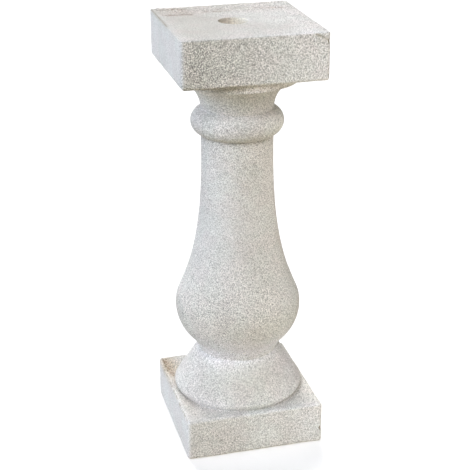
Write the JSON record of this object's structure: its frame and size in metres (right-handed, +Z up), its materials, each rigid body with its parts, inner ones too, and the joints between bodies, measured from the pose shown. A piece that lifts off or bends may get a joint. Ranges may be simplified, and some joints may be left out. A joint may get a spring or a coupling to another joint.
{
  "type": "stone baluster",
  "caption": "Cast-stone baluster with a square plinth and cap, a turned vase-shaped body, a bead below the cap and a blind dowel socket in its top.",
  "frame": {"origin": "middle of the underside of the plinth", "axes": "+Z up along the axis of the turned body, +X and +Y square to the sides of the plinth and cap; the picture's front face looks to -Y"},
  "size_m": [0.184, 0.184, 0.56],
  "materials": {
    "stone": "matt, fine-grained, as struck from the mould"
  },
  "bodies": {
    "root": {"baluster": "stone"}
  },
  "joints": []
}
